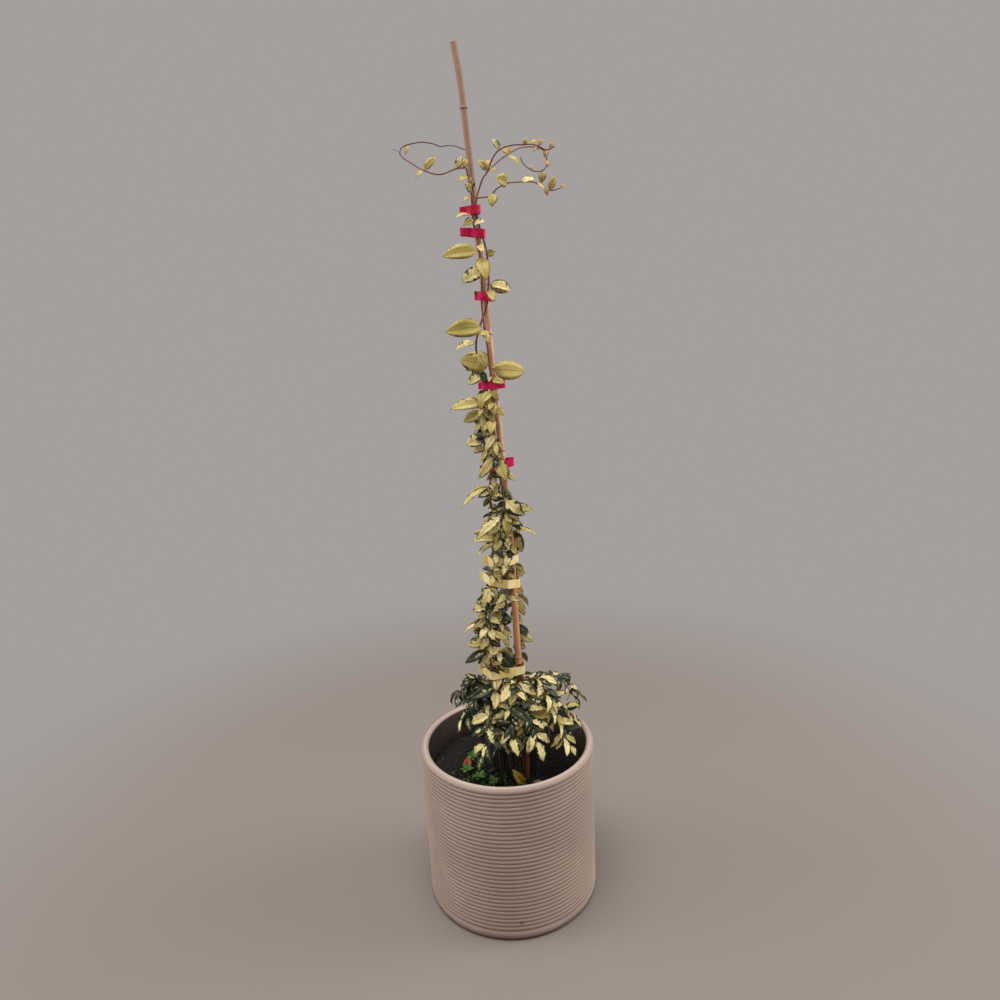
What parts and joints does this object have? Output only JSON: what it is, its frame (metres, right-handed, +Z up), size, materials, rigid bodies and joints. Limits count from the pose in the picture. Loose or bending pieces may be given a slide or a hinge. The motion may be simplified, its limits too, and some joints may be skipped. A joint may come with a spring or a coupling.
{
  "type": "potted variegated star jasmine",
  "caption": "Young star jasmine with cream and green leaves, tied to a bamboo cane and standing in a ribbed round pot of soil.",
  "frame": {"origin": "on the ground, under the middle of the pot", "axes": "+Z up along the plant, +Y away from the viewer of the reference view, +X to that viewer's right"},
  "size_m": [0.29, 0.29, 1.336],
  "materials": {
    "pot": "matte",
    "soil": "rough",
    "bamboo": "satin",
    "stake": "satin",
    "climbing_foliage": "satin",
    "bush_foliage": "satin",
    "seedling": "satin",
    "red_tape": "satin",
    "yellow_tape": "satin",
    "dead_leaf": "matte"
  },
  "bodies": {
    "root": {"pot": "pot", "soil": "soil", "cane": "bamboo", "stake": "stake", "leafy_stem_a": "climbing_foliage", "leafy_stem_b": "climbing_foliage", "leafy_stem_c": "climbing_foliage", "leafy_stem_d": "climbing_foliage", "spray_01": "bush_foliage", "spray_02": "bush_foliage", "spray_03": "bush_foliage", "spray_04": "bush_foliage", "spray_05": "bush_foliage", "spray_06": "bush_foliage", "spray_07": "bush_foliage", "spray_08": "bush_foliage", "spray_09": "bush_foliage", "spray_10": "bush_foliage", "spray_11": "bush_foliage", "spray_12": "bush_foliage", "spray_13": "bush_foliage", "tie_1": "red_tape", "tie_2": "red_tape", "tie_3": "red_tape", "tie_4": "red_tape", "tie_5": "red_tape", "tie_6": "yellow_tape", "tie_7": "yellow_tape", "tie_8": "yellow_tape", "weed_1": "seedling", "weed_2": "seedling", "weed_3": "seedling", "weed_4": "seedling", "weed_5": "seedling", "fallen_leaf_1": "dead_leaf", "fallen_leaf_2": "dead_leaf", "fallen_leaf_3": "dead_leaf"}
  },
  "joints": []
}
